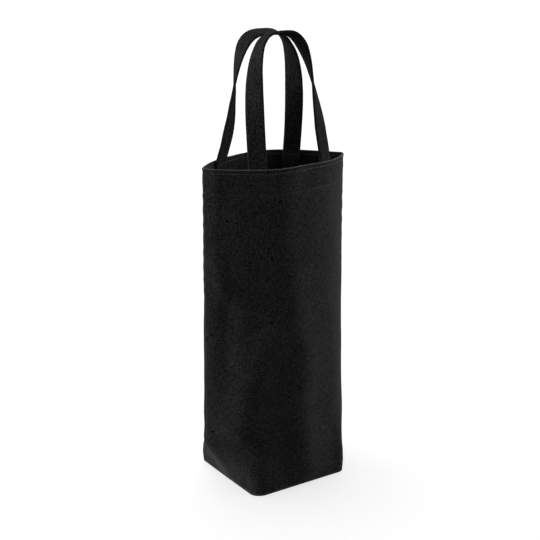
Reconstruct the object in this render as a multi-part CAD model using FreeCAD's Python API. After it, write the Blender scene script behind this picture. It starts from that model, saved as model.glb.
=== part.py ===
"""Bottle carrier: a tall canvas bag with a boxed base, a turned-in hem and two sewn carrying straps.

Millimetres, +Z up. The origin is the middle of the base's underside. X runs along the front panel,
from the left side seam to the right one, and the front panel faces -Y.
The front half is modelled, and the back half is its mirror image in the XZ plane.
"""

import FreeCAD, Part
import math
import os
from FreeCAD import Vector

# Cloth
canvas = 1.0             # thickness of one layer of canvas
body_height = 320.0      # from the base's underside to the rim
hem_depth = 26.0         # how far the top edge is turned in
seam_allowance = 8.0     # cloth left inside each seam

# Base: a rectangle with softly rounded corners
base_width = 109.0
base_depth = 102.0
base_corner = 7.0
corner_bulge = 3.0       # how far the slack cloth above a base corner stands out
bulge_reach_share = 0.2  # how far that bulge reaches along the cloth, by its half girth

# Belly: the height where the boxed corners run out into the side seams
gusset_height = 48.0
belly_width = 157.0
belly_depth = 100.0
belly_tip_power = 1.1    # 1 is an ellipse, and higher is more pointed at the side seams

# Mouth: the open lens at the rim
mouth_width = 162.0
mouth_depth = 80.0
mouth_tip_power = 1.7

# Straps
strap_width = 19.0
strap_thickness = 2.0
strap_seat = 0.2         # clearance between the hem and a strap's sewn end
strap_tail = 2.0         # how far a sewn end reaches below the hem
leg_spacing = 82.0       # between a handle's two legs, measured along the rim
loop_height = 125.0      # from the rim to the top of a handle
crown_gap = 24.0         # between the two handles' centre lines at their tops
fold_gap = 0.8           # clearance at the fold between a loop and its sewn ends

# Shape of a handle's loop
shoulder_power = 4.4     # higher keeps the legs upright for longer
crown_power = 3.2        # higher makes the crown flatter
leg_lean_share = 0.19    # how much of their spacing the legs lose on the way up
twist_start_share = 0.2  # the part of a leg, from the rim, that keeps the rim's direction
loop_stations = 15       # sections along a loop

# Seam thread
stitch_length = 2.3
stitch_pitch = 3.1
stitch_width = 0.6
stitch_thickness = 0.35
stitch_seat = 0.1        # clearance under a stitch
rim_stitch_drop = 4.0    # from the rim down to its row of topstitching
hem_stitch_rise = 3.0    # from the hem's lower edge up to its row of stitches
seam_end_gap = 9.0       # cloth left free of stitches beside a side seam
end_margin = 2.0         # from the sides of a strap's sewn end to its stitches
overlock_width = 4.0     # how far the edging thread reaches over a seam's raw edge
overlock_thickness = 0.4

# Counts of points on the curves, and of steps up the boxed corners
OUTLINE_POINTS = 57
STRIP_POINTS = 9
GUSSET_LEVELS = 3
LOOP_POINTS = 48

ALONG_Y = Vector(0, 1, 0)
UP = Vector(0, 0, 1)


def spline(points):
    """One smooth edge through the points."""
    curve = Part.BSplineCurve()
    curve.interpolate(points)
    return curve.toShape()


def stretch(points, start_share, end_share, count):
    """Evenly spaced points on part of the curve through some points, by shares of its length."""
    edge = spline(points)
    step = (end_share - start_share) / (count - 1)
    lengths = [edge.Length * (start_share + step * i) for i in range(count)]
    return [edge.valueAt(edge.getParameterByLength(length)) for length in lengths]


def base_wire():
    """Front half of the base's outline, from the left side seam to the right one."""
    x = base_width / 2
    y = base_depth / 2
    inset = base_corner * (1 - math.sqrt(0.5))
    seam = Vector(x, 0, 0)
    bend = Vector(x, base_corner - y, 0)
    corner = Vector(x - inset, inset - y, 0)
    front = Vector(x - base_corner, -y, 0)
    right = [
        Part.Arc(front, corner, bend).toShape(),
        Part.LineSegment(bend, seam).toShape(),
    ]
    left = [mirrored_x(edge) for edge in right]
    middle = Part.LineSegment(left[0].Vertexes[0].Point, front).toShape()
    return Part.Wire(Part.__sortEdges__(left + [middle] + right))


def base_outline():
    """Points of the base's front half, from the left side seam, by equal lengths of cloth."""
    points = base_wire().discretize(Number=OUTLINE_POINTS)
    return points if points[0].x < 0 else list(reversed(points))


def oval_outline(width, oval_depth, tip_power):
    """Points of an oval's front half, from the left side seam, by equal lengths of cloth."""
    angles = [math.pi * i / (OUTLINE_POINTS - 1) for i in range(1, OUTLINE_POINTS - 1)]
    points = [Vector(-width / 2, 0, 0)]
    for angle in angles:
        y = oval_depth / 2 * math.sin(angle) ** tip_power
        points.append(Vector(-width / 2 * math.cos(angle), -y, 0))
    points.append(Vector(width / 2, 0, 0))
    return stretch(points, 0, 1, OUTLINE_POINTS)


def gusset_outline(base, belly, rise_share):
    """Points on the way from the base to the belly, with the slack above the base's corners."""
    slack = corner_bulge * 4 * rise_share * (1 - rise_share)
    corner_share = (base_depth / 2 - base_corner * (1 - math.pi / 4)) / base_wire().Length
    points = []
    for i, (low, high) in enumerate(zip(base, belly)):
        share = i / (OUTLINE_POINTS - 1)
        apart = abs(min(share, 1 - share) - corner_share)
        nearness = max(0, 1 - apart / bulge_reach_share)
        push = slack * nearness * nearness * (3 - 2 * nearness) / math.sqrt(2)
        straight = low * (1 - rise_share) + high * rise_share
        points.append(straight + Vector(math.copysign(push, low.x), -push, 0))
    return points


def level_outlines():
    """Heights and outlines that the cloth's outer face passes through, from the base up."""
    base = base_outline()
    belly = oval_outline(belly_width, belly_depth, belly_tip_power)
    mouth = oval_outline(mouth_width, mouth_depth, mouth_tip_power)
    rises = [i / GUSSET_LEVELS for i in range(GUSSET_LEVELS + 1)]
    gusset = [(gusset_height * rise, gusset_outline(base, belly, rise)) for rise in rises]
    return gusset + [(body_height, mouth)]


def inset_outline(points, depth):
    """An outline moved inwards, with its ends kept in the plane of the side seams."""
    last = len(points) - 1
    moved = []
    for i, point in enumerate(points):
        along = points[min(i + 1, last)] - points[max(i - 1, 0)]
        inward = Vector(-along.y, along.x, 0).normalize()
        if i in (0, last):
            inward = Vector(1 / inward.x, 0, 0)
        moved.append(point + inward * depth)
    return moved


def section(height, depth):
    """Front half of the cloth at a height, as points at a depth inside its outer face."""
    for (low, lower), (high, upper) in zip(LEVELS, LEVELS[1:]):
        if height <= high:
            break
    share = (height - low) / (high - low)
    outline = [a * (1 - share) + b * share for a, b in zip(lower, upper)]
    return [point + UP * height for point in inset_outline(outline, depth)]


def strip_wire(height, outer_depth, inner_depth, start_share, end_share):
    """Closed outline of a strip of wall, between two depths and two shares of the cloth's half girth."""
    count = OUTLINE_POINTS if end_share - start_share == 1 else STRIP_POINTS
    outer = stretch(section(height, outer_depth), start_share, end_share, count)
    inner = stretch(section(height, inner_depth), start_share, end_share, count)
    edges = [
        spline(outer),
        Part.LineSegment(outer[-1], inner[-1]).toShape(),
        spline(list(reversed(inner))),
        Part.LineSegment(inner[0], outer[0]).toShape(),
    ]
    return Part.Wire(edges)


def wall(low, high, outer_depth, inner_depth, start_share=0, end_share=1):
    """Strip of wall between two heights."""
    wires = [
        strip_wire(height, outer_depth, inner_depth, start_share, end_share)
        for height in (low, high)
    ]
    return Part.makeLoft(wires, True, True)


def front_base():
    """Front half of the base, with the allowances of its middle seam and corner seams pressed flat."""
    outline = section(0, canvas / 2)
    edges = [spline(outline), Part.LineSegment(outline[-1], outline[0]).toShape()]
    floor = Part.Face(Part.Wire(edges)).extrude(UP * canvas)
    edge_x = base_width / 2 - canvas
    strip_x = edge_x - seam_allowance
    middle = Part.makeBox(
        2 * strip_x, seam_allowance, canvas, Vector(-strip_x, -seam_allowance, canvas)
    )
    corner_length = base_depth / 2 - base_corner
    corners = [
        Part.makeBox(seam_allowance, corner_length, canvas, Vector(x, -corner_length, canvas))
        for x in (-edge_x, strip_x)
    ]
    return floor.fuse([middle] + corners)


def seam_line(depth, low):
    """Points of the right side seam in the XZ plane, at a depth inside the cloth's outer face."""
    heights = (low, gusset_height, body_height - hem_depth)
    return [section(height, 0)[-1] - Vector(depth, 0, 0) for height in heights]


def seam_plate(outer_depth, inner_depth, low, thickness):
    """Flat strip inside the right side seam, between two depths, on one side of the XZ plane."""
    outline = seam_line(outer_depth, low) + list(reversed(seam_line(inner_depth, low)))
    return Part.Face(Part.makePolygon(outline + outline[:1])).extrude(ALONG_Y * thickness)


def mirrored_x(shape):
    return shape.mirror(Vector(0, 0, 0), Vector(1, 0, 0))


def mirrored_y(shape):
    return shape.mirror(Vector(0, 0, 0), ALONG_Y)


def front_panel():
    """Front panel: wall, turned-in hem, half of the base and its allowances at the side seams."""
    hem_low = body_height - hem_depth
    right_allowance = seam_plate(canvas / 2, canvas + seam_allowance, canvas / 2, -canvas)
    heights = [height for height, _ in LEVELS[:-1]] + [hem_low]
    walls = [wall(low, high, 0, canvas) for low, high in zip(heights, heights[1:])]
    hem = wall(hem_low, body_height, 0, 2 * canvas)
    allowances = [right_allowance, mirrored_x(right_allowance)]
    return front_base().fuse(walls + [hem] + allowances).removeSplitter()


def right_overlock():
    """Edging thread wrapped round the raw edges of both allowances at the right side seam."""
    edge_depth = canvas + seam_allowance
    thickness = canvas + overlock_thickness
    low = 2 * canvas
    half = seam_plate(edge_depth - overlock_width, edge_depth + overlock_thickness, low, thickness)
    sleeve = half.fuse(mirrored_y(half))
    cloth = seam_plate(canvas / 2, edge_depth, low, canvas)
    return sleeve.cut(cloth.fuse(mirrored_y(cloth))).removeSplitter()


def edge_thread(length):
    """Edging thread over the raw edge of an allowance that lies flat on the base.

    The edge lies along the X axis, centred on it, with its cloth towards +Y.
    """
    top = 2 * canvas + overlock_thickness
    outline = [
        Vector(0, -overlock_thickness, canvas),
        Vector(0, -overlock_thickness, top),
        Vector(0, overlock_width, top),
        Vector(0, overlock_width, 2 * canvas),
        Vector(0, 0, 2 * canvas),
        Vector(0, 0, canvas),
    ]
    profile = Part.Face(Part.makePolygon(outline + outline[:1]))
    profile.translate(Vector(-length / 2, 0, 0))
    return profile.extrude(Vector(length, 0, 0))


def base_overlock():
    """Edging threads on both raw edges of the base's middle seam."""
    length = base_width - 2 * (canvas + seam_allowance + overlock_thickness)
    front = edge_thread(length)
    front.translate(Vector(0, -seam_allowance, 0))
    return Part.makeCompound([front, mirrored_y(front)])


def right_corner_overlock():
    """Edging threads on the raw edge of the right corner seam, in front of and behind the middle seam."""
    near = seam_allowance + overlock_thickness
    far = base_depth / 2 - base_corner
    front = edge_thread(far - near)
    front.rotate(Vector(0, 0, 0), UP, -90)
    front.translate(Vector(base_width / 2 - canvas - seam_allowance, -(near + far) / 2, 0))
    return Part.makeCompound([front, mirrored_y(front)])


def strap_depths():
    """Depths of a sewn end's two faces inside the cloth's outer face."""
    outer = 2 * canvas + strap_seat
    return outer, outer + strap_thickness


def leg_shares():
    """Shares of the rim's half girth at the left and right sides of the left leg."""
    girth = spline(section(body_height, sum(strap_depths()) / 2)).Length
    middle = (girth - leg_spacing) / 2 / girth
    half = strap_width / 2 / girth
    return middle - half, middle + half


def left_strap_end():
    """Sewn end of the front handle's left leg, on the inside of the hem."""
    outer, inner = strap_depths()
    low = body_height - hem_depth - strap_tail
    return wall(low, body_height, outer, inner, *leg_shares())


def leg_root():
    """Middle of the left leg where it passes the rim, and the rim's direction there."""
    start, end = leg_shares()
    line = section(body_height, sum(strap_depths()) / 2)
    left, middle, right = stretch(line, start, end, 3)
    return middle, math.atan2(right.y - left.y, right.x - left.x)


def loop_line():
    """Centre line of the front handle's loop, from its left root over the crown to its right root."""
    root, _ = leg_root()
    rise = loop_height - fold_gap - strap_thickness / 2
    points = []
    for i in range(LOOP_POINTS + 1):
        angle = math.pi * i / LOOP_POINTS
        up = math.sin(angle) ** (2 / shoulder_power) if 0 < i < LOOP_POINTS else 0
        across = math.copysign(abs(math.cos(angle)) ** (2 / crown_power), math.cos(angle))
        x = root.x * (1 - leg_lean_share * up) * across
        y = root.y + (-crown_gap / 2 - root.y) * up
        points.append(Vector(x, y, root.z + fold_gap + rise * up))
    return spline(points)


def loop_section(line, share):
    """Cross-section of the loop: along the rim at the roots, and turned to lie flat at the crown."""
    _, rim_angle = leg_root()
    from_root = 2 * min(share, 1 - share)
    progress = max(0, from_root - twist_start_share) / (1 - twist_start_share)
    turned = math.sin(progress * math.pi / 2)
    angle = rim_angle + (-math.pi / 2 - rim_angle) * turned
    if share > 0.5:
        angle = -math.pi - angle
    parameter = line.getParameterByLength(line.Length * share)
    centre, tangent = line.valueAt(parameter), line.tangentAt(parameter)
    if share in (0, 1):
        tangent = UP if share == 0 else -UP
    across = Vector(math.cos(angle), math.sin(angle), 0)
    across = (across - tangent * across.dot(tangent)).normalize() * (strap_width / 2)
    outward = tangent.cross(across).normalize() * (strap_thickness / 2)
    corners = [
        centre + across + outward,
        centre - across + outward,
        centre - across - outward,
        centre + across - outward,
    ]
    return Part.makePolygon(corners + corners[:1])


def front_handle():
    """Loop of the front handle, a flat strap that turns edge to edge between its legs and its crown."""
    line = loop_line()
    shares = [i / (loop_stations - 1) for i in range(loop_stations)]
    return Part.makeLoft([loop_section(line, share) for share in shares], True, False)


def stitch(place, along, outward):
    """One stitch lying on a face of the cloth."""
    block = Part.makeBox(
        stitch_length,
        stitch_thickness,
        stitch_width,
        Vector(-stitch_length / 2, stitch_seat, -stitch_width / 2),
    )
    turn = FreeCAD.Rotation(along, outward, along.cross(outward), "XYZ")
    block.Placement = FreeCAD.Placement(place, turn)
    return block


def stitch_row(height, depth, start_share, end_share, facing):
    """Row of stitches along the cloth at a height and a depth. Facing is 1 outside and -1 inside."""
    edge = spline(section(height, depth))
    length = edge.Length * (end_share - start_share)
    count = max(1, int((length - stitch_length) / stitch_pitch) + 1)
    first = edge.Length * (start_share + end_share) / 2 - stitch_pitch * (count - 1) / 2
    row = []
    for i in range(count):
        parameter = edge.getParameterByLength(first + stitch_pitch * i)
        along = edge.tangentAt(parameter)
        outward = along.cross(UP).normalize() * facing
        row.append(stitch(edge.valueAt(parameter), along, outward))
    return row


def outer_row(height):
    """Row of stitches on the front panel's outer face, from seam to seam."""
    margin = seam_end_gap / spline(section(height, 0)).Length
    return Part.makeCompound(stitch_row(height, 0, margin, 1 - margin, 1))


def left_end_stitches():
    """The rim's and the hem's rows where they cross a strap's sewn end, on its inner face."""
    _, inner = strap_depths()
    start, end = leg_shares()
    margin = (end - start) * end_margin / strap_width
    rows = []
    for height in (body_height - rim_stitch_drop, body_height - hem_depth + hem_stitch_rise):
        rows += stitch_row(height, inner, start + margin, end - margin, -1)
    return Part.makeCompound(rows)


def fold_axis():
    """Place of the front handle's fold: the rim's outer edge beside the inner side of a leg."""
    _, end = leg_shares()
    return stretch(section(body_height, 0), 0, end, 2)[-1]


def build():
    """Every node's shape by name."""
    front = {
        "front_panel": front_panel(),
        "front_handle": front_handle(),
        "front_rim_topstitch": outer_row(body_height - rim_stitch_drop),
        "front_hem_stitches": outer_row(body_height - hem_depth + hem_stitch_rise),
        "front_handle_left_end": left_strap_end(),
        "front_handle_left_end_stitches": left_end_stitches(),
    }
    for name in ("front_handle_left_end", "front_handle_left_end_stitches"):
        front[name.replace("left", "right")] = mirrored_x(front[name])
    nodes = dict(front)
    for name, shape in front.items():
        nodes[name.replace("front", "back")] = mirrored_y(shape)
    nodes["right_seam_overlock"] = right_overlock()
    nodes["right_corner_overlock"] = right_corner_overlock()
    for name in ("right_seam_overlock", "right_corner_overlock"):
        nodes[name.replace("right", "left")] = mirrored_x(nodes[name])
    nodes["base_seam_overlock"] = base_overlock()
    return nodes


LEVELS = level_outlines()

os.makedirs("parts", exist_ok=True)
for node, shape in build().items():
    shape.exportStep(f"parts/{node}.step")
    print(node, len(shape.Solids), "solids,", round(shape.Volume, 1), "mm3, valid", shape.isValid())
print("front fold axis at", fold_axis())
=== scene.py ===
"""Looks of the bottle carrier: black cotton canvas, cotton strap handles and sewing thread.

Sizes are in millimetres, and points are scaled to metres as they are placed.
The front panel faces -Y. The back panel comes from the same functions, turned round in Y.
A share is a place along a line. Along a panel it runs from 0 at the left side seam to 1 at the right.
"""
import math
from functools import lru_cache

import bmesh
import bpy
import numpy as np
from mathutils import Matrix, Vector, noise


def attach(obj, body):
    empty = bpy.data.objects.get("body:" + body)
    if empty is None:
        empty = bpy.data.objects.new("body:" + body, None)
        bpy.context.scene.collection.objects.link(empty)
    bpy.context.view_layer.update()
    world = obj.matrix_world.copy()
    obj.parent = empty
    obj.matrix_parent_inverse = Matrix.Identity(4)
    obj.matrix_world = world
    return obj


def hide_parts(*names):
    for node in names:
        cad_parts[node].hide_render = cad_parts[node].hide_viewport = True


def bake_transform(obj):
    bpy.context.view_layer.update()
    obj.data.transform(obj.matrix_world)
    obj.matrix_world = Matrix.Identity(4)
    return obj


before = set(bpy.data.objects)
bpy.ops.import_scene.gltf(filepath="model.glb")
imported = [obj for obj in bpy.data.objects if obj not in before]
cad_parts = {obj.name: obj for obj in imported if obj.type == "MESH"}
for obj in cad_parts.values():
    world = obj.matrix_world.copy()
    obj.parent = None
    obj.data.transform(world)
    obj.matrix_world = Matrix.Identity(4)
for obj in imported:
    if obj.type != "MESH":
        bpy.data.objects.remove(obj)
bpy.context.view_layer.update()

MM = 0.001
UP = Vector((0, 0, 1))
SIDES = {"front": 1, "back": -1}

# Cloth
CANVAS = 1.0
BODY_HEIGHT = 320.0
HEM_DEPTH = 26.0
LOWER_EDGE = 1.2                # radius of the fold round the base
LOWER_EDGE_ROUNDING = ((0, 1), (0.13, 0.5), (0.5, 0.13))  # (height, depth) in shares of that radius
HEM_EDGE_ROUNDING = ((0.4, 1.8), (0.5, 1.4))  # (drop below the hem, depth in layers of canvas)
RIM_RISE = 3.8                  # how much higher the rim stands in the middle of a panel
LEFT_LIFT = 4.2                 # how much higher it stands at the left seam
LEFT_LIFT_SHARE = 0.42          # where that has died away
LEAN = 2.6                      # how far the rim stands to the right of the base

# Seams, and the raw-edged cloth left inside them
SEAM_PINCH = 0.7                # how far the side seams are drawn in
SEAM_PINCH_REACH = 1.2
SEAM_SHIFT = 7.0                # how far the left seam is drawn forward at the base
SEAM_SHIFT_REACH = (10.0, 50.0)  # distances to the left of the middle between which that grows
SEAM_ALLOWANCE = 8.0
ALLOWANCE_THICKNESS = 0.9
ALLOWANCE_BEVEL = 0.3
ALLOWANCE_HEM_GAP = 1.0
CORNER_CLEARANCE = 13.0         # from the end of a corner seam's cloth to the base's front or back edge

# Outlines from the base up: the boxed base, the belly, the waist above it, and the open mouth
BASE_WIDTH = 109.0
BASE_DEPTH = 102.0
BASE_CORNERS = {"front": (13.0, 7.0), "back": (2.0, 5.0)}
BELLY = {"height": 48.0, "width": 160.8, "depth": 100.0, "tip_power": 1.25}
WAIST = {"height": 96.0, "width": 160.8, "depth": 97.0, "tip_power": 1.4}
MOUTH = {"height": BODY_HEIGHT, "width": 163.0, "depth": 80.0, "tip_power": 1.7}

# Rounding of the bends at those levels, sharper at the side seams than away from them
SEAM_ROUNDING = 5.0
FOLD_ROUNDING = 18.0
ROUNDING_SHARES = (0.02, 0.14)  # shares from a seam between which the one turns into the other
ROUNDING_WEIGHTS = ((-1, 1), (-0.5, 2), (0, 2), (0.5, 2), (1, 1))  # (step down or up, weight)

# Slack cloth that stands out above the base's corners, by height, and how much of it each corner has
SLACK_HEIGHTS = (0, 12, 21, 37, 54, 70, 87, 110, 153, 186, 219, 300)
SLACK_PUSHES = (0, 3.0, 4.3, 4.7, 4.3, 3.5, 2.5, 1.5, 1.0, 0.7, 0.35, 0)
SLACK_SHARES = {"front": (0.3, 1.0), "back": (1.0, 0.8)}
CORNER_REACH_SHARE = 0.2

# A tuck of the front panel beside the left seam: where it starts, is full, ebbs and ends
TUCK_DEPTH = 4.0
TUCK_PLACES = (0, 14, 26, 60)
TUCK_HEIGHTS = (0, 8, 36, 80)

# Soft folds of each panel: points as (share, height), then reach and height, which is negative in a hollow
FOLDS = {
    "front": [
        ([(0.40, 308), (0.39, 250), (0.44, 200), (0.505, 140), (0.49, 84), (0.54, 12)], 18, 4.4),
        ([(0.355, 160), (0.31, 144), (0.265, 122), (0.225, 98), (0.19, 66)], 16, 5.0),
        ([(0.065, 316), (0.06, 298)], 7, 1.6),
        ([(0.06, 281), (0.055, 260)], 7, 1.6),
        ([(0.065, 238), (0.11, 203)], 8, 3.0),
        ([(0.125, 190), (0.115, 134)], 10, -3.2),
        ([(0.69, 44), (0.70, 10)], 10, -1.4),
        ([(0.05, 66), (0.24, 40)], 8, -0.9),
    ],
    "back": [
        ([(0.72, 24), (0.80, 96)], 10, 1.3),
        ([(0.06, 60), (0.22, 46)], 10, -1.0),
        ([(0.24, 260), (0.34, 180), (0.36, 110)], 18, -1.8),
        ([(0.56, 270), (0.64, 180), (0.60, 90)], 19, 2.0),
        ([(0.40, 130), (0.52, 70)], 20, 1.2),
    ],
}

# Unevenness of the cloth: waves across a panel, length of a wave up it, layer of the noise, and height
CLOTH_SEEDS = {"front": 7.3, "back": 31.9}
BROAD_WAVES = (2.6, 88, 0, 1.3)
FINE_WAVES = (7.5, 30, 5, 0.4)
RIM_WAVES = (24, 14, 3, 0.35)
RIM_WAVE_DROPS = (HEM_DEPTH + 14, 2)  # drops below the rim between which its waves grow
STEADY_SEAM = 2.5               # distance from a seam over which all of it grows
STEADY_BASE = 14.0              # the same above the base

# Puckers along the side seams, in patches
PUCKER_HEIGHTS = (120, 260)
PUCKER_DEPTH = 0.45
PUCKER_STEP = 2.1               # height for each radian of the wave
PUCKER_DRIFT = 3.0
PUCKER_DRIFT_LENGTH = 21
PUCKER_DRIFT_LAYER = 9.0
PUCKER_PATCH_LENGTH = 33
PUCKER_PATCH_LAYER = 2.0
PUCKER_PLACE = 5.0              # distance from the seam
PUCKER_REACH = 4.5

# The hem's inner layer shows outside as a swelling, and each row of stitches draws the cloth in
HEM_SWELL = 0.35
HEM_SWELL_DROPS = (HEM_DEPTH + 3, HEM_DEPTH - 2)  # drops below the rim between which it grows
STITCH_DENT = 0.3
STITCH_DENT_REACHES = {"rim": 1.6, "hem": 1.8}

# Dye rubbed off the base's edge, and painted highlight at the feet of the side seams. The rim's top gets
# painted highlight too, where the amount goes up to 1
BASE_WEAR = 0.25
FOOT_HIGHLIGHT = 0.2
FOOT_HIGHLIGHT_SHARES = (0.01, 0.10)
FOOT_HIGHLIGHT_HEIGHTS = (16, 48)

# Straps
STRAP_WIDTH = 17.8
STRAP_THICKNESS = 2.5
STRAP_SEAT = 0.2                # clearance between the hem and a strap's sewn end
STRAP_TAIL = 2.0                # how far a sewn end reaches below the hem
STRAP_DEPTH = 2 * CANVAS + STRAP_SEAT + STRAP_THICKNESS / 2
LEG_SPACINGS = {"front": 80.6, "back": 87.5}
LEG_OFFSETS = {"front": 0.3, "back": -4.8}  # shift of both legs along the rim
LEG_LEAN_SHARE = 0.185          # how much of their spacing the legs lose on the way up
LEAN_POWERS = {"front": 1.15, "back": 3.1}
LOOP_HEIGHT = 125.0
SHOULDER_POWER = 4.4            # higher keeps the legs upright for longer
CROWN_POWER = 3.2               # higher makes the crown flatter
CROWN_GAP = 24.0
CROWN_DRIFTS = {"front": (-2.6, 1.6), "back": (0.6, 0.8)}  # to the right and to the back
CROWN_ROLLS = {"front": 0.22, "back": 0.2}  # slope of the strap across the crown
CROWN_DROPS = {"front": 0, "back": 1.3}
TWIST_START_SHARE = 0.22        # the part of a leg, from the rim, that keeps the rim's direction
TWIST_SHARE = 0.58              # the part above it that makes the turn
TWIST_POWER = 1.25
FOLD_GAP = 0.8

# Unevenness of the straps: hollow at the rim, swaying above it, and a fine fuzz all along
STRAP_SEEDS = {"front": 3.7, "back": 17.1}
STRAP_BOW = 0.5
STRAP_BOW_SHARE = 0.12
STRAP_BOW_MIDDLE = 0.4
STRAP_SWAY = 0.25
STRAP_SWAY_SHARES = (0.02, 0.2)
STRAP_SWAY_WIDTH = 7
STRAP_SWAY_WAVES = 26
STRAP_FUZZ = 0.06
STRAP_FUZZ_WAVES = 140

# Thread: length, height and width of a stitch, and its rows
STITCHES = {"rim": (2.0, 0.4, 0.6), "hem": (1.9, 0.2, 0.4)}
STITCH_PITCH = 3.1
RIM_STITCH_DROP = 4.0
HEM_STITCH_RISE = 3.0
ROW_HEIGHTS = {"rim": BODY_HEIGHT - RIM_STITCH_DROP, "hem": BODY_HEIGHT - HEM_DEPTH + HEM_STITCH_RISE}
SEAM_END_GAP = 9.0
END_MARGIN = 2.0                # from the sides of a strap's sewn end to its stitches
END_CLEARANCE = 1.0             # from the sides of a strap's sewn end to the hem's stitches

# Overlock thread round raw edges
OVERLOCK_PITCH = 3.0
OVERLOCK_WIDTH = 4.0
OVERLOCK_SLANT = 0.35
OVERLOCK_FACE = (0.6, 0.4, 0.6)  # what a stitch on a face adds to the width, then its height and width
OVERLOCK_EDGE = (0.5, 0.5, 0.7)  # what a stitch over the edge adds to the thickness, then the same
OVERLOCK_EDGE_OUT = 0.15
OVERLOCK_LOW = 4.0
OVERLOCK_HEM_GAP = 2.0
OVERLOCK_END_GAP = 1.0
BASE_EDGE_HEIGHT = 1.5 * CANVAS

# Fineness of the meshes. Rows of a stretch are a number and how close together they are at its ends
OUTLINE_POINTS = 241
COLUMNS = 112
COLUMN_END_SHARE = 0.22
OUTER_ROWS = (150, 0.4)
RIM_ROWS = 9
HEM_ROWS = (16, 0.6)
INNER_ROWS = (70, 0.5)
FIN_ROWS = (60, 0.6)
FIN_COLUMNS = 5
CORNER_POINTS = 13
STRAP_STATIONS = 150
STRAP_TAIL_POINTS = 12
STRAP_LOOP_POINTS = 241
STRAP_FACE_POINTS = 11
STRAP_SIDE_POINTS = 6
MERGE_DISTANCE = 0.001
SEAT_STEP = 0.004               # share on each side of a place from which its direction is taken
RIM_ANGLE_STEP = 0.05           # the same for the rim at a strap's leg

# Looks: linear colours, and lengths in metres
BLACK_DYE = (0.0015, 0.0015, 0.0016, 1)
FADED_DYE = (0.0185, 0.0185, 0.0188, 1)
STRAP_DYE = (0.0205, 0.0205, 0.0208, 1)
CANVAS_LOOK = {"pitches": (0.0007, 0.0008), "sheen": 0.07, "gloss": 0.005, "weave_depth": 0.00018}
STRAP_LOOK = {"pitches": (0.0009, 0.0007), "sheen": 0.015, "gloss": 0, "weave_depth": 0.00022}
SHEEN_ROUGHNESS = 0.4
CLOTH_ROUGHNESS = (0.2, 0.8)    # how much the tone adds, and the least
YARN_DRIFT = 1.6
YARN_STRETCHES = ((800.0, 190.0, 1.0), (190.0, 800.0, 1.0))
YARN_WEIGHT = 0.22
GRAIN_WEIGHT = 0.46
DYE_WEIGHT = 0.1
TONE_SPAN = (0.38, 0.62)
TONE_RELIEF = 1.2
NEP_RADIUS = 0.11
NEP_DYE_LEVEL = 0.5
NEP_TONE = 0.4                  # against the darkest dye
# The colour that painted highlight and wear lighten the cloth towards, and how much the tone adds to them
HIGHLIGHT_AND_WEAR_TONE = 6                 # against the lightest dye
HIGHLIGHT_AND_WEAR_BY_TONE = 1.2
# Tones of the thread, lighter in the rim's row than in the hem's
RIM_THREAD = (0.012, 0.030)
HEM_THREAD = (0.003, 0.008)
THREAD_BLUE = 1.03
THREAD_GLOSS = 0.25
THREAD_ROUGHNESS = (0.15, 0.5)

# Room, with its lamps: direction, strength, spread in radians, and whether the floor is lit
FLOOR_REACH = 15.0              # metres
FLOOR_COLOUR = (0.45, 0.45, 0.45, 1)
FLOOR_ROUGHNESS = 0.9
FLOOR_GLOW = 0.715
WHITE = (1, 1, 1, 1)
ROOM_LIGHT = 0.06
LAMPS = [
    ("left_lamp", (-1.3, 0.44, 0.15), 7.4, 0.8, False),
    ("right_lamp", (1.4, -0.50, 0.18), 7.2, 0.8, False),
    ("front_lamp", (-0.55, -0.83, 0.6), 0.35, 0.8, True),
    ("top_lamp", (0.1, 0.8, 0.9), 2.8, 1.8, True),
]

# Camera: degrees round and up, then millimetres
CAMERA_AZIMUTH = -33.6
CAMERA_ELEVATION = 17.55
CAMERA_DISTANCE = 1200.0
CAMERA_AIM_RIGHT = -3.25
CAMERA_AIM_HEIGHT = 212.06
CAMERA_SENSOR = 36.0
CAMERA_LENS = 81.35

even_shares = np.linspace(0, 1, OUTLINE_POINTS)


def smoothstep(start, end, value):
    """0 up to start, 1 from end on, and a smooth change between them. End may be the lower of the two."""
    share = np.clip((value - start) / (end - start), 0, 1)
    return share * share * (3 - 2 * share)


def plateau(value, start, full, ebb, end):
    """0 up to start, 1 from full to ebb, 0 from end on, and smooth changes between them."""
    return smoothstep(start, full, value) * (1 - smoothstep(ebb, end, value))


def resampled(points, shares):
    """Points on a line of points, at shares of its length."""
    steps = np.linalg.norm(np.diff(points, axis=0), axis=1)
    lengths = np.concatenate([[0], np.cumsum(steps)])
    places = np.asarray(shares) * lengths[-1]
    return np.stack([np.interp(places, lengths, axis) for axis in points.T], axis=1)


def line_length(points):
    """Length of a line of points."""
    return float(np.linalg.norm(np.diff(points, axis=0), axis=1).sum())


# The cloth's shape

def base_outline(corners):
    """Front half of the boxed base, from the left seam to the right one, with the radii of its corners."""
    turn = np.linspace(0, math.pi / 2, CORNER_POINTS)
    halves = []
    for corner in corners:
        arc_x = BASE_WIDTH / 2 - corner * (1 - np.sin(turn))
        arc_y = corner * (1 - np.cos(turn)) - BASE_DEPTH / 2
        halves.append(np.stack([np.append(arc_x, BASE_WIDTH / 2), np.append(arc_y, 0)], axis=1))
    left, right = halves
    return resampled(np.concatenate([left[::-1] * (-1, 1), right]), even_shares)


def oval_outline(level):
    """Front half of an oval, more pointed at the side seams with a higher tip power."""
    angles = np.linspace(0, math.pi, 4 * OUTLINE_POINTS)
    x = -level["width"] / 2 * np.cos(angles)
    y = -level["depth"] / 2 * np.abs(np.sin(angles)) ** level["tip_power"]
    return resampled(np.stack([x, y], axis=1), even_shares)


LEVEL_HEIGHTS = [0.0] + [level["height"] for level in (BELLY, WAIST, MOUTH)]
LEVEL_OUTLINES = {
    side: [base_outline(corners)] + [oval_outline(level) for level in (BELLY, WAIST, MOUTH)]
    for side, corners in BASE_CORNERS.items()
}
CORNER_SHARE = BASE_DEPTH / 2 / (BASE_WIDTH + BASE_DEPTH)


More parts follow.
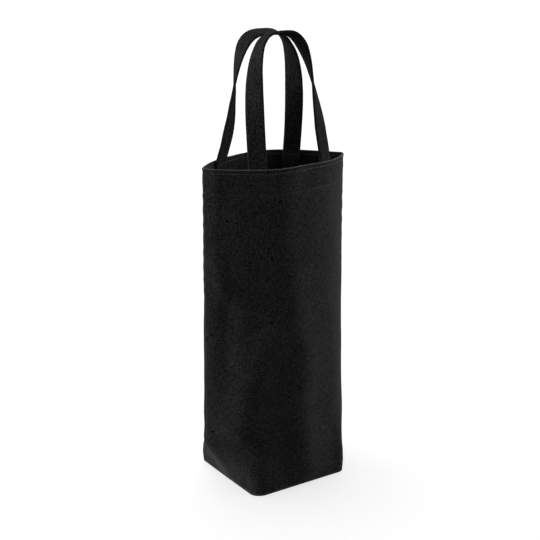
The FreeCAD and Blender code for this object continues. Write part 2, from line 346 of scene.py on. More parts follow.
def straight_outline(side, height):
    """Outline at a height, on straight lines between the levels."""
    step = 0
    while step < len(LEVEL_HEIGHTS) - 2 and height > LEVEL_HEIGHTS[step + 1]:
        step += 1
    low, high = LEVEL_HEIGHTS[step], LEVEL_HEIGHTS[step + 1]
    share = (height - low) / (high - low)
    return LEVEL_OUTLINES[side][step] * (1 - share) + LEVEL_OUTLINES[side][step + 1] * share


def rounded_outline(side, height, rounding):
    """Outline at a height, with the bends at the levels rounded off."""
    reach = min(rounding, height, BODY_HEIGHT - height)
    total = sum(weight for step, weight in ROUNDING_WEIGHTS)
    return sum(
        weight * straight_outline(side, height + step * reach) for step, weight in ROUNDING_WEIGHTS
    ) / total


@lru_cache(maxsize=None)
def cloth_outline(side, height):
    """Outline of the cloth's outer face, with the slack that stands out above the base's corners."""
    from_seam = np.minimum(even_shares, 1 - even_shares)
    soft = smoothstep(*ROUNDING_SHARES, from_seam)[:, None]
    outline = rounded_outline(side, height, SEAM_ROUNDING) * (1 - soft)
    outline = outline + rounded_outline(side, height, FOLD_ROUNDING) * soft
    slack = np.interp(height, SLACK_HEIGHTS, SLACK_PUSHES)
    nearness = 1 - np.abs(from_seam - CORNER_SHARE) / CORNER_REACH_SHARE
    hand = np.where(even_shares < 0.5, *SLACK_SHARES[side])
    push = slack * hand * smoothstep(0, 1, nearness) / math.sqrt(2)
    shift_x = push
    if side == "front":
        from_left_seam = even_shares * line_length(outline)
        tuck = plateau(from_left_seam, *TUCK_PLACES) * plateau(height, *TUCK_HEIGHTS)
        shift_x = push - TUCK_DEPTH * tuck
    return outline + np.stack([shift_x * np.sign(outline[:, 0]), -push], axis=1)


def fold_distance(points, height, girth):
    """Distance in millimetres from each place along an outline to a bent line on the cloth."""
    place = np.stack([even_shares * girth, np.full(OUTLINE_POINTS, height)], axis=1)
    corners = np.array(points) * (girth, 1)
    apart = []
    for start, end in zip(corners, corners[1:]):
        run = end - start
        along = np.clip((place - start) @ run / (run @ run), 0, 1)
        apart.append(np.linalg.norm(place - start - along[:, None] * run, axis=1))
    return np.min(apart, axis=0)


def cloth_waves(seed, height, waves):
    """Unevenness along one outline from one kind of waves."""
    across, length, layer, size = waves
    places = [(share * across + seed, height / length, seed + layer) for share in even_shares]
    return size * np.array([noise.noise(place) for place in places])


def seam_puckers(seed, height, from_seam):
    """Puckers of one outline beside its two side seams."""
    drift = PUCKER_DRIFT * noise.noise((height / PUCKER_DRIFT_LENGTH, seed, PUCKER_DRIFT_LAYER))
    wave = math.sin(height / PUCKER_STEP + drift)
    patch = 0.5 + 0.5 * noise.noise((height / PUCKER_PATCH_LENGTH, seed, PUCKER_PATCH_LAYER))
    drawn = PUCKER_DEPTH * smoothstep(*PUCKER_HEIGHTS, height) * patch
    return drawn * wave * np.exp(-((from_seam - PUCKER_PLACE) / PUCKER_REACH) ** 2)


def relief(side, height):
    """How far folds, puckers and unevenness move the cloth out of its plain shape along one outline."""
    girth = line_length(cloth_outline(side, height))
    from_seam = np.minimum(even_shares, 1 - even_shares) * girth
    rim_drop = BODY_HEIGHT - height
    seed = CLOTH_SEEDS[side]
    out = cloth_waves(seed, height, BROAD_WAVES) + cloth_waves(seed, height, FINE_WAVES)
    for points, reach, rise in FOLDS[side]:
        out += rise * np.exp(-(fold_distance(points, height, girth) / reach) ** 2)
    out += seam_puckers(seed, height, from_seam)
    out += HEM_SWELL * smoothstep(*HEM_SWELL_DROPS, rim_drop)
    for row, reach in STITCH_DENT_REACHES.items():
        out -= STITCH_DENT * math.exp(-((height - ROW_HEIGHTS[row]) / reach) ** 2)
    out += cloth_waves(seed, height, RIM_WAVES) * smoothstep(*RIM_WAVE_DROPS, rim_drop)
    return out * smoothstep(0, STEADY_SEAM, from_seam) * smoothstep(0, STEADY_BASE, height)


def rim_rise(share, height):
    """How much higher the rim stands in the middle of a panel and at the left seam than at the right."""
    lift = LEFT_LIFT * (1 - smoothstep(0, LEFT_LIFT_SHARE, share))
    return (RIM_RISE * np.sin(math.pi * share) ** 2 + lift) * (height / BODY_HEIGHT) ** 3


@lru_cache(maxsize=None)
def cloth_ring(side, height, depth):
    """Front half of the cloth at a height and a depth inside its outer face, cut where Y is 0."""
    outline = cloth_outline(side, height)
    along = np.gradient(outline, axis=0)
    inward = np.stack([-along[:, 1], along[:, 0]], axis=1)
    inward /= np.linalg.norm(inward, axis=1)[:, None]
    from_seam = np.minimum(even_shares, 1 - even_shares) * line_length(outline)
    pinch = SEAM_PINCH * np.exp(-(from_seam / SEAM_PINCH_REACH) ** 2) * min(1, height / LOWER_EDGE)
    ring = outline + inward * (depth + pinch - relief(side, height))[:, None]
    inner = np.nonzero(ring[:, 1] < 0)[0]
    first, last = inner[0], inner[-1]
    ends = []
    for beyond, kept in ((max(first - 1, 0), first), (min(last + 1, len(ring) - 1), last)):
        drop = ring[beyond, 1] - ring[kept, 1]
        share = -ring[kept, 1] / drop if drop > 0 else 0
        end = ring[kept] + (ring[beyond] - ring[kept]) * share
        ends.append([end[0], 0])
    return np.concatenate([ends[:1], ring[first:last + 1], ends[1:]])


def stood(x, y, height):
    """A point in metres, with the bag's lean to the right and its left seam drawn forward at the base."""
    near_seam = max(0, 1 - abs(y) / (BASE_DEPTH / 2)) * smoothstep(*SEAM_SHIFT_REACH, -x)
    forward = SEAM_SHIFT * near_seam * (1 - smoothstep(0, BELLY["height"], height))
    return Vector((x + LEAN * min(height / BODY_HEIGHT, 1), y - forward, height)) * MM


def cloth_points(side, height, depth, shares):
    """Points of the cloth in metres at shares of a ring, with the panel's own side applied."""
    flat = resampled(cloth_ring(side, height, depth), shares)
    heights = height + rim_rise(np.asarray(shares), height)
    return [stood(x, y * SIDES[side], z) for (x, y), z in zip(flat, heights)]


def cloth_seat(side, height, depth, share):
    """A point on the cloth, with its directions along the cloth and outwards."""
    shares = (share - SEAT_STEP, share, share + SEAT_STEP)
    before, point, after = cloth_points(side, height, depth, shares)
    along = (after - before).normalized()
    outward = along.cross(UP).normalized() * SIDES[side]
    return point, along, outward


# Shared ways of making a mesh

def placed_grid(bm, columns, rows, points, lengths, wear_and_highlight=None):
    """A grid of quads with its crossings put in place, a flat map in metres, and its mask of painted
    highlight and wear.
    """
    highlight_and_wear_amount = bm.verts.layers.float.get("painted_highlight_and_wear") or bm.verts.layers.float.new("painted_highlight_and_wear")
    cloth_map = bm.loops.layers.uv.verify()
    made = bmesh.ops.create_grid(bm, x_segments=columns, y_segments=rows, size=0.5)["verts"]
    spots = {}
    for vert in made:
        spots[vert] = (round((vert.co.y + 0.5) * rows), round((vert.co.x + 0.5) * columns))
    for face in {face for vert in made for face in vert.link_faces}:
        face.smooth = True
        for loop in face.loops:
            row, column = spots[loop.vert]
            loop[cloth_map].uv = (lengths[0][column], lengths[1][row])
    for vert, (row, column) in spots.items():
        vert.co = points[row][column]
        vert[highlight_and_wear_amount] = wear_and_highlight(row, column) if wear_and_highlight else 0
    return {spot: vert for vert, spot in spots.items()}


def edges_between(verts):
    """Edges of a chain of neighbouring points."""
    edges = []
    for vert, after in zip(verts, verts[1:]):
        edges += [edge for edge in vert.link_edges if edge.other_vert(vert) == after]
    return edges


def fill_loop(bm, edges, axes):
    """Closes a loop of edges with triangles, mapped by two of its axes, and keeps its border crisp."""
    cloth_map = bm.loops.layers.uv.verify()
    for face in bmesh.ops.edgeloop_fill(bm, edges=edges)["faces"]:
        face.smooth = False
        for loop in face.loops:
            loop[cloth_map].uv = [loop.vert.co[axis] for axis in axes]
            loop.edge.smooth = False
        bmesh.ops.triangulate(bm, faces=[face])


def box_map(bm):
    """Maps the faces of plain strips by the two axes that they lie along."""
    cloth_map = bm.loops.layers.uv.verify()
    for face in bm.faces:
        normal = [abs(value) for value in face.normal]
        axes = [axis for axis in range(3) if axis != normal.index(max(normal))]
        for loop in face.loops:
            loop[cloth_map].uv = [loop.vert.co[axis] for axis in axes]


def finished(bm, name, material, body="bag"):
    """Makes a piece from a mesh, with its material, and lets it ride on a body unless that is None."""
    mesh = bpy.data.meshes.new(name)
    bm.to_mesh(mesh)
    bm.free()
    mesh.materials.append(material)
    piece = bpy.data.objects.new(name, mesh)
    bpy.context.scene.collection.objects.link(piece)
    if body:
        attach(piece, body)
    return piece


# Canvas panels

def spaced(low, high, count, end_share):
    """Values from low to high, closer together at both ends."""
    steps = np.linspace(0, 1, count)
    shares = steps - (1 - end_share) * np.sin(2 * math.pi * steps) / (2 * math.pi)
    return list(low + (high - low) * shares)


def panel_profile():
    """Heights and depths along the cloth: lower edge, outer face, rolled rim, turned-in hem, inner face."""
    roll = CANVAS
    roll_low = BODY_HEIGHT - roll
    hem_low = BODY_HEIGHT - HEM_DEPTH
    rows = [(LOWER_EDGE * rise, LOWER_EDGE * inward) for rise, inward in LOWER_EDGE_ROUNDING]
    rows += [(height, 0) for height in spaced(LOWER_EDGE, roll_low, *OUTER_ROWS)]
    for angle in np.linspace(0, math.pi, RIM_ROWS)[1:-1]:
        rows.append((roll_low + roll * math.sin(angle), roll * (1 - math.cos(angle))))
    rows += [(height, 2 * CANVAS) for height in spaced(roll_low, hem_low, *HEM_ROWS)]
    rows += [(hem_low - drop, layers * CANVAS) for drop, layers in HEM_EDGE_ROUNDING]
    inner_top = rows[-1][0]
    rows += [(height, CANVAS) for height in spaced(inner_top, CANVAS, *INNER_ROWS)]
    return rows


def wear_and_painted_highlight(height, depth, share):
    """How much the cloth is lightened: most on the rolled rim's top, less at the base and at the side seams'
    feet. It is painted highlight on the rim and the feet, and dye rubbed off at the base.
    """
    # Painted highlight along the top of the rolled rim
    if height > BODY_HEIGHT - CANVAS:
        return max(0, 1 - abs(depth - CANVAS) / CANVAS)
    # Dye rubbed off at the base's edge
    if height < 2 * LOWER_EDGE:
        return BASE_WEAR
    # Painted highlight at the feet of the side seams, on the outer face
    near_seam = 1 - smoothstep(*FOOT_HIGHLIGHT_SHARES, min(share, 1 - share))
    return FOOT_HIGHLIGHT * near_seam * (1 - smoothstep(*FOOT_HIGHLIGHT_HEIGHTS, height)) * (depth < CANVAS)


def sew_panel(side, material):
    """One panel of the bag with its hem and its half of the base, as a closed shell."""
    bm = bmesh.new()
    profile = panel_profile()
    last = len(profile) - 1
    shares = spaced(0, 1, COLUMNS + 1, COLUMN_END_SHARE)
    points = [cloth_points(side, height, depth, shares) for height, depth in profile]
    belly_girth = line_length(LEVEL_OUTLINES[side][1]) * MM
    rises = np.linalg.norm(np.diff(np.array(profile), axis=0), axis=1)
    rises = np.concatenate([[0], np.cumsum(rises)]) * MM
    lengths = ([share * belly_girth for share in shares], rises)

    def wear_and_highlight(row, column):
        """How much painted highlight and wear a crossing of the grid has."""
        return wear_and_painted_highlight(*profile[row], shares[column])

    grid = placed_grid(bm, COLUMNS, last, points, lengths, wear_and_highlight)
    closing = []
    for row in (0, last):
        chain = [grid[row, column] for column in range(COLUMNS + 1)]
        edge = bmesh.ops.contextual_create(bm, geom=[chain[0], chain[-1]])["edges"]
        closing += edge
        fill_loop(bm, edges_between(chain) + edge, (0, 1))
    ends = [edges_between([grid[row, column] for row in range(last + 1)]) for column in (0, COLUMNS)]
    fill_loop(bm, ends[0] + ends[1] + closing, (0, 2))
    bmesh.ops.recalc_face_normals(bm, faces=bm.faces)
    panel = finished(bm, f"{side}_canvas", material)
    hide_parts(f"{side}_panel")


def seam_edge(hand, height, depth):
    """Place of a side seam at a height and a depth inside the cloth. Hand is 1 at the right, else -1."""
    return stood(hand * (cloth_outline("front", height)[-1][0] - depth), 0, height)


def sew_allowances(side, material):
    """Raw-edged cloth inside the seams: a fin at each side seam, and strips pressed flat on the base."""
    bm = bmesh.new()
    heights = spaced(CANVAS, BODY_HEIGHT - HEM_DEPTH - ALLOWANCE_HEM_GAP, *FIN_ROWS)
    depths = np.linspace(CANVAS, CANVAS + SEAM_ALLOWANCE, FIN_COLUMNS)
    lengths = ([depth * MM for depth in depths], [height * MM for height in heights])
    for hand in (1, -1):
        points = [[seam_edge(hand, height, depth) for depth in depths] for height in heights]
        grid = placed_grid(bm, len(depths) - 1, len(heights) - 1, points, lengths)
        faces = list({face for vert in grid.values() for face in vert.link_faces})
        layer = bmesh.ops.extrude_face_region(bm, geom=faces)["geom"]
        moved = [part for part in layer if isinstance(part, bmesh.types.BMVert)]
        bmesh.ops.translate(bm, verts=moved, vec=(0, -ALLOWANCE_THICKNESS * SIDES[side] * MM, 0))
    strip_x = BASE_WIDTH / 2 - CANVAS - SEAM_ALLOWANCE
    corner_length = BASE_DEPTH / 2 - CORNER_CLEARANCE
    strips = [((0, -SEAM_ALLOWANCE / 2), (2 * strip_x, SEAM_ALLOWANCE))]
    for hand in (1, -1):
        centre = (hand * (strip_x + SEAM_ALLOWANCE / 2), -corner_length / 2)
        strips.append((centre, (SEAM_ALLOWANCE, corner_length)))
    for (x, y), (width, depth) in strips:
        place = Matrix.Translation(Vector((x, y * SIDES[side], CANVAS + ALLOWANCE_THICKNESS / 2)) * MM)
        size = Matrix.Diagonal((width * MM, depth * MM, ALLOWANCE_THICKNESS * MM, 1))
        made = bmesh.ops.create_cube(bm, size=1, matrix=place @ size)["verts"]
        edges = list({edge for vert in made for edge in vert.link_edges})
        bmesh.ops.bevel(
            bm, geom=edges, offset=ALLOWANCE_BEVEL * MM, affect="EDGES", segments=2, profile=0.5, material=-1
        )
    bmesh.ops.recalc_face_normals(bm, faces=bm.faces)
    box_map(bm)
    finished(bm, f"{side}_seam_allowances", material)


# Straps

def leg_shares(side):
    """Shares of the rim's half girth at the middles of the left and right legs."""
    girth = line_length(cloth_ring(side, BODY_HEIGHT, STRAP_DEPTH))
    middle = 0.5 + LEG_OFFSETS[side] / girth
    half = LEG_SPACINGS[side] / 2 / girth
    return middle - half, middle + half


def strap_line(side):
    """A handle's centre line from its left tail to its right tail, and a tail's share of the length."""
    heights = np.linspace(BODY_HEIGHT - HEM_DEPTH - STRAP_TAIL, BODY_HEIGHT, STRAP_TAIL_POINTS)
    tails = []
    for share in leg_shares(side):
        flat = [resampled(cloth_ring(side, height, STRAP_DEPTH), [share])[0] for height in heights]
        tails.append(np.array([(x, y, height) for (x, y), height in zip(flat, heights)]))
    left, right = tails[0][-1], tails[1][-1]
    rise = LOOP_HEIGHT - FOLD_GAP - STRAP_THICKNESS / 2 - CROWN_DROPS[side]
    angles = np.linspace(0, math.pi, STRAP_LOOP_POINTS)
    up = np.abs(np.sin(angles)) ** (2 / SHOULDER_POWER)
    up[0] = up[-1] = 0
    across = -np.sign(np.cos(angles)) * np.abs(np.cos(angles)) ** (2 / CROWN_POWER)
    drift_x, drift_y = CROWN_DRIFTS[side]
    middle = (left[0] + right[0]) / 2
    lean = 1 - (1 - up) ** LEAN_POWERS[side]
    x = middle + (right[0] - middle) * (1 - LEG_LEAN_SHARE * lean) * across + drift_x * up
    root_y = left[1] + (right[1] - left[1]) * (across + 1) / 2
    y = root_y + (drift_y * SIDES[side] - CROWN_GAP / 2 - root_y) * lean
    loop = np.stack([x, y, BODY_HEIGHT + FOLD_GAP + rise * up], axis=1)
    points = np.concatenate([tails[0], loop, tails[1][::-1]])
    return points, line_length(tails[0]) / line_length(points)


def rim_angle(side, share):
    """Angle of the rim to the X axis at a share of its half girth."""
    rim = cloth_ring(side, BODY_HEIGHT, STRAP_DEPTH)
    before, after = resampled(rim, [share - RIM_ANGLE_STEP, share + RIM_ANGLE_STEP])
    return math.atan2(after[1] - before[1], after[0] - before[0])


def strap_profile():
    """Outline of a strap's cross-section, a flat bar with rounded sides, as (across, outward) points."""
    edge = STRAP_THICKNESS / 2
    flat = np.linspace(-1, 1, STRAP_FACE_POINTS) * (STRAP_WIDTH / 2 - edge)
    turn = np.linspace(math.pi / 2, -math.pi / 2, STRAP_SIDE_POINTS)[1:-1]
    top = [(value, edge) for value in flat]
    right = [(flat[-1] + edge * math.cos(angle), edge * math.sin(angle)) for angle in turn]
    half = top + right
    outline = half + [(-across, -outward) for across, outward in half]
    return np.array(outline + outline[:1])


def strap_rings(side, line, shares, tail_share, profile):
    """Cross-sections of a handle in metres along its centre line, turned flat on the way to the crown."""
    left_share, right_share = leg_shares(side)
    root_angles = rim_angle(side, left_share), rim_angle(side, right_share) - math.pi
    seed = STRAP_SEEDS[side]
    rings = []
    for place, tangent, spot in zip(line, np.gradient(line, axis=0), shares):
        tangent = Vector(tangent).normalized()
        loop_share = (spot - tail_share) / (1 - 2 * tail_share)
        from_root = max(0, 2 * min(loop_share, 1 - loop_share))
        progress = min(1, max(0, from_root - TWIST_START_SHARE) / TWIST_SHARE) ** TWIST_POWER
        root_angle = root_angles[int(spot > 0.5)]
        angle = root_angle + (-math.pi / 2 - root_angle) * progress
        across = Vector((math.cos(angle), math.sin(angle), CROWN_ROLLS[side] * progress))
        across = (across - tangent * across.dot(tangent)).normalized()
        outward = tangent.cross(across).normalized()
        bow = STRAP_BOW * (1 - smoothstep(0, STRAP_BOW_SHARE, from_root))
        sway = STRAP_SWAY * smoothstep(*STRAP_SWAY_SHARES, from_root)
        ring = []
        for wide, thick in profile:
            uneven = sway * noise.noise((wide / STRAP_SWAY_WIDTH, spot * STRAP_SWAY_WAVES, seed))
            uneven += STRAP_FUZZ * noise.noise((wide, spot * STRAP_FUZZ_WAVES, seed))
            hollow = bow * ((2 * wide / STRAP_WIDTH) ** 2 - STRAP_BOW_MIDDLE)
            at = Vector(place) + across * wide + outward * (thick + uneven + hollow)
            ring.append(stood(at.x, at.y * SIDES[side], at.z))
        rings.append(ring)
    return rings


def sew_strap(side, material):
    """One handle: a strap whose ends are sewn inside the hem, and which folds over the rim."""
    points, tail_share = strap_line(side)
    shares = np.linspace(0, 1, STRAP_STATIONS + 1)
    profile = strap_profile()
    rings = strap_rings(side, resampled(points, shares), shares, tail_share, profile)
    around = [0]
    for before, after in zip(profile, profile[1:]):
        around.append(around[-1] + float(np.linalg.norm(after - before)) * MM)
    lengths = (around, list(shares * line_length(points) * MM))
    bm = bmesh.new()
    placed_grid(bm, len(profile) - 1, STRAP_STATIONS, rings, lengths)
    bmesh.ops.remove_doubles(bm, verts=bm.verts, dist=MERGE_DISTANCE * MM)
    bmesh.ops.holes_fill(bm, edges=[edge for edge in bm.edges if edge.is_boundary])
    bmesh.ops.recalc_face_normals(bm, faces=bm.faces)
    strap = finished(bm, f"{side}_strap", material, body=None)
    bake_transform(strap)
    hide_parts(f"{side}_handle", f"{side}_handle_left_end", f"{side}_handle_right_end")


# Thread

def shape_stitch():
    """One plump length of thread, of unit size, for every stitch to be placed from."""
    bm = bmesh.new()
    bmesh.ops.create_uvsphere(bm, u_segments=8, v_segments=5, radius=0.5)
    for face in bm.faces:
        face.smooth = True
    mesh = bpy.data.meshes.new("stitch")
    bm.to_mesh(mesh)
    bm.free()
    return mesh


stitch_shape = shape_stitch()


def lay_stitch(bm, place, along, outward, size):
    """One stitch, half sunk in the face that it lies on."""
    across = along.cross(outward)
    turn = Matrix((along, outward, across)).transposed().to_4x4()
    shape = Matrix.Diagonal((size[0] * MM, size[1] * MM, size[2] * MM, 1))
    laid = stitch_shape.copy()
    laid.transform(Matrix.Translation(place) @ turn @ shape)
    bm.from_mesh(laid)
    bpy.data.meshes.remove(laid)


def stitch_shares(side, height, depth, start, end):
    """Even places for stitches between two shares of a ring."""
    girth = line_length(cloth_ring(side, height, depth))
    count = int(((end - start) * girth - STITCHES["rim"][0]) / STITCH_PITCH) + 1
    reach = STITCH_PITCH * (count - 1) / girth
    middle = (start + end) / 2
    return np.linspace(middle - reach / 2, middle + reach / 2, count)


def lay_row(bm, side, row, depth, start, end, facing, skipped=()):
    """A row of stitches on one face of the cloth, outside where facing is 1 and inside where it is -1."""
    height = ROW_HEIGHTS[row]
    for share in stitch_shares(side, height, depth, start, end):
        if any(low < share < high for low, high in skipped):
            continue
        place, along, outward = cloth_seat(side, height, depth, share)
        lay_stitch(bm, place, along, outward * facing, STITCHES[row])


def leg_spans(side, spare):
    """Shares of the rim that the two sewn ends of a strap cover, with a spare width on each side."""
    girth = line_length(cloth_ring(side, BODY_HEIGHT, STRAP_DEPTH))
    half = (STRAP_WIDTH / 2 + spare) / girth
    return [(middle - half, middle + half) for middle in leg_shares(side)]


def sew_rows(side, materials):
    """Topstitching round the rim and along the hem, on both faces of the cloth, and across the straps."""
    nodes = {"rim": "rim_topstitch", "hem": "hem_stitches"}
    strap_inner = STRAP_DEPTH + STRAP_THICKNESS / 2
    over_straps = bmesh.new()
    for row, height in ROW_HEIGHTS.items():
        bm = bmesh.new()
        margin = SEAM_END_GAP / line_length(cloth_outline(side, height))
        lay_row(bm, side, row, 0, margin, 1 - margin, 1)
        lay_row(bm, side, row, 2 * CANVAS, margin, 1 - margin, -1, leg_spans(side, END_CLEARANCE))
        piece = finished(bm, f"{side}_{row}_thread", materials[row])
        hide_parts(f"{side}_{nodes[row]}")
        for start, end in leg_spans(side, -END_MARGIN):
            lay_row(over_straps, side, row, strap_inner, start, end, -1)
    piece = finished(over_straps, f"{side}_strap_thread", materials["hem"])
    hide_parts(f"{side}_handle_left_end_stitches", f"{side}_handle_right_end_stitches")


def wrap_edge(bm, place, along, inward, face_normal, thickness):
    """Overlock thread round a raw edge: a slanted stitch on each face and one over the edge."""
    longer, height, width = OVERLOCK_FACE
    for facing in (1, -1):
        slant = (inward + along * OVERLOCK_SLANT * facing).normalized()
        middle = place + inward * (OVERLOCK_WIDTH / 2 * MM) + face_normal * (facing * thickness / 2 * MM)
        lay_stitch(bm, middle, slant, face_normal * facing, (OVERLOCK_WIDTH + longer, height, width))
    longer, height, width = OVERLOCK_EDGE
    edge = place - inward * (OVERLOCK_EDGE_OUT * MM)
    lay_stitch(bm, edge, face_normal, -inward, (thickness + longer, height, width))


def sew_overlocks(material):
    """Overlock thread on the raw edges of the side seams, the corner seams and the base's middle seam."""
    seam_top = BODY_HEIGHT - HEM_DEPTH - OVERLOCK_HEM_GAP
    corner_near = SEAM_ALLOWANCE + OVERLOCK_END_GAP
    corner_far = BASE_DEPTH / 2 - CORNER_CLEARANCE
    corner_x = BASE_WIDTH / 2 - CANVAS - SEAM_ALLOWANCE
    for hand, name in ((1, "right"), (-1, "left")):
        bm = bmesh.new()
        for height in np.arange(OVERLOCK_LOW, seam_top, OVERLOCK_PITCH):
            low, high = (seam_edge(hand, height + step, CANVAS + SEAM_ALLOWANCE) for step in (-1, 1))
            along = (high - low).normalized()
            inward = Vector((0, hand, 0)).cross(along)
            wrap_edge(bm, (low + high) / 2, along, inward, Vector((0, 1, 0)), 2 * CANVAS)
        piece = finished(bm, f"{name}_seam_thread", material)
        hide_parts(f"{name}_seam_overlock")
        bm = bmesh.new()
        for y in np.arange(corner_near, corner_far, OVERLOCK_PITCH):
            for face in (1, -1):
                place = Vector((hand * corner_x, y * face, BASE_EDGE_HEIGHT)) * MM
                wrap_edge(bm, place, Vector((0, 1, 0)), Vector((hand, 0, 0)), UP, CANVAS)
        piece = finished(bm, f"{name}_corner_thread", material)
        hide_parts(f"{name}_corner_overlock")
    bm = bmesh.new()
    reach = corner_x - OVERLOCK_END_GAP
    for x in np.arange(-reach, reach, OVERLOCK_PITCH):
        for face in (1, -1):
            place = Vector((x, -SEAM_ALLOWANCE * face, BASE_EDGE_HEIGHT)) * MM
            wrap_edge(bm, place, Vector((1, 0, 0)), Vector((0, face, 0)), UP, CANVAS)
    piece = finished(bm, "base_seam_thread", material)
    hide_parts("base_seam_overlock")


# Materials

def add_node(tree, kind, values=None, **settings):
    """A shader node with its settings and the plain values of its inputs."""
    node = tree.nodes.new(kind)
    for name, value in settings.items():
        setattr(node, name, value)
    for name, value in (values or {}).items():
        node.inputs[name].default_value = value
    return node


def maths(tree, operation, *values):
    """Result of a maths node on sockets or numbers."""
    node = add_node(tree, "ShaderNodeMath", operation=operation)
    for socket, value in zip(node.inputs, values):
        if hasattr(value, "is_output"):
            tree.links.new(value, socket)
        else:
            socket.default_value = value
    return node.outputs[0]


def start_group(name, inputs, outputs):
    """An empty shader group with named sockets."""
    group = bpy.data.node_groups.new(name, "ShaderNodeTree")
    for label, kind, value in inputs:
        socket = group.interface.new_socket(label, in_out="INPUT", socket_type=kind)
        if value is not None:
            socket.default_value = value
    for label in outputs:
        group.interface.new_socket(label, in_out="OUTPUT", socket_type="NodeSocketFloat")
    return group, group.nodes.new("NodeGroupInput").outputs, group.nodes.new("NodeGroupOutput").inputs


def plain_weave_group():
    """Threads that pass over and under each other, uneven in place: Height rises on each thread."""
    group, given, out = start_group(
        "plain_weave",
        [("Cloth Map", "NodeSocketVector", None), ("Across", "NodeSocketFloat", 0.0007),
         ("Along", "NodeSocketFloat", 0.0007)],
        ["Height"],
    )
    drift = add_node(group, "ShaderNodeTexNoise", {"Scale": 420.0, "Detail": 1.0})
    group.links.new(given["Cloth Map"], drift.inputs["Vector"])
    shift = maths(group, "MULTIPLY", maths(group, "SUBTRACT", drift.outputs["Fac"], 0.5), YARN_DRIFT)
    parts = add_node(group, "ShaderNodeSeparateXYZ")
    group.links.new(given["Cloth Map"], parts.inputs[0])
    waves = []
    for axis, pitch in (("X", "Across"), ("Y", "Along")):
        turns = maths(group, "ADD", maths(group, "DIVIDE", parts.outputs[axis], given[pitch]), shift)
        waves.append(maths(group, "SINE", maths(group, "MULTIPLY", turns, math.pi)))
    crossing = maths(group, "MULTIPLY", waves[0], waves[1])
    group.links.new(maths(group, "MULTIPLY_ADD", crossing, 0.5, 0.5), out["Height"])
    return group


def slub_group():
    """Uneven cotton yarn: Tone varies with thick threads and the dye, and Speck marks small dark neps."""
    group, given, out = start_group(
        "cotton_slub",
        [("Cloth Map", "NodeSocketVector", None), ("Place", "NodeSocketVector", None)],
        ["Tone", "Speck"],
    )
    streaks = []
    for stretch in YARN_STRETCHES:
        mapping = add_node(group, "ShaderNodeMapping", {"Scale": stretch})
        group.links.new(given["Cloth Map"], mapping.inputs["Vector"])
        yarn = add_node(group, "ShaderNodeTexNoise", {"Scale": 1.0, "Detail": 2.0})
        group.links.new(mapping.outputs[0], yarn.inputs["Vector"])
        streaks.append(yarn.outputs["Fac"])
    tone = maths(group, "MULTIPLY", maths(group, "ADD", *streaks), YARN_WEIGHT)
    grain = add_node(group, "ShaderNodeTexNoise", {"Scale": 900.0, "Detail": 1.0})
    dye = add_node(group, "ShaderNodeTexNoise", {"Scale": 45.0, "Detail": 3.0})
    for node, weight in ((grain, GRAIN_WEIGHT), (dye, DYE_WEIGHT)):
        group.links.new(given["Place"], node.inputs["Vector"])
        tone = maths(group, "ADD", tone, maths(group, "MULTIPLY", node.outputs["Fac"], weight))
    group.links.new(tone, out["Tone"])
    neps = add_node(group, "ShaderNodeTexVoronoi", {"Scale": 95.0, "Randomness": 1.0})
    group.links.new(given["Cloth Map"], neps.inputs["Vector"])
    close = maths(group, "LESS_THAN", neps.outputs["Distance"], NEP_RADIUS)
    chosen = maths(group, "GREATER_THAN", dye.outputs["Fac"], NEP_DYE_LEVEL)
    group.links.new(maths(group, "MULTIPLY", close, chosen), out["Speck"])
    return group


weave_nodes = plain_weave_group()
slub_nodes = slub_group()


def scaled_colour(colour, factor):
    """A colour times a factor, opaque."""
    return [value * factor for value in colour[:3]] + [1]


